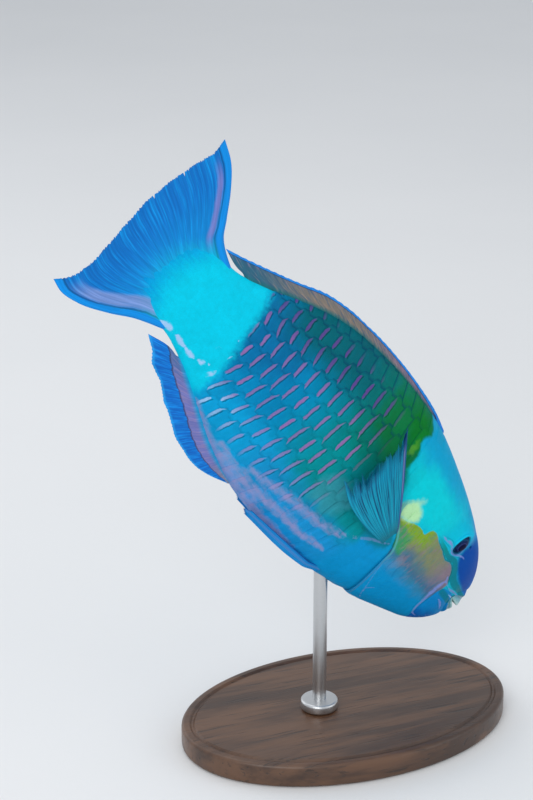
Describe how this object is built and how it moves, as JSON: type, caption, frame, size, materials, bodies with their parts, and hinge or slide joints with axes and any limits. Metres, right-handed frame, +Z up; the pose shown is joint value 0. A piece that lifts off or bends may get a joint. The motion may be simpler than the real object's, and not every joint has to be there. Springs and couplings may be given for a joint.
{
  "type": "parrotfish display model",
  "caption": "Life-size still model of a swimming blue-green parrotfish, nose-down, held over a flat oval base by a rod, for display.",
  "frame": {"origin": "centre of the flat underside of the oval base", "axes": "+Z up; +X towards the side the fish's snout points to; +Y to the fish's left side; the fish dives 52 degrees nose-down in the XZ plane"},
  "size_m": [0.264, 0.13, 0.3573],
  "materials": {
    "fish_skin": "painted fish skin with large scales under a thin satin varnish",
    "fish_fin": "painted fin membrane over fine rays, satin varnish",
    "fish_eye": "clear polished dome over a painted iris",
    "fish_beak": "hard fused teeth, semi-gloss",
    "base_wood": "dark walnut, oiled, softened edge",
    "rod_steel": "fine brushed"
  },
  "bodies": {
    "root": {"head": "fish_skin", "lower_jaw": "fish_skin", "trunk": "fish_skin", "tail_stem": "fish_skin", "dorsal_fin": "fish_fin", "anal_fin": "fish_fin", "tail_fin": "fish_fin", "pectoral_fin_left": "fish_fin", "pectoral_fin_right": "fish_fin", "pelvic_fin_left": "fish_fin", "pelvic_fin_right": "fish_fin", "eye_left": "fish_eye", "eye_right": "fish_eye", "upper_beak": "fish_beak", "lower_beak": "fish_beak", "stand_base": "base_wood", "stand_rod": "rod_steel", "stand_collar": "rod_steel"}
  },
  "joints": []
}
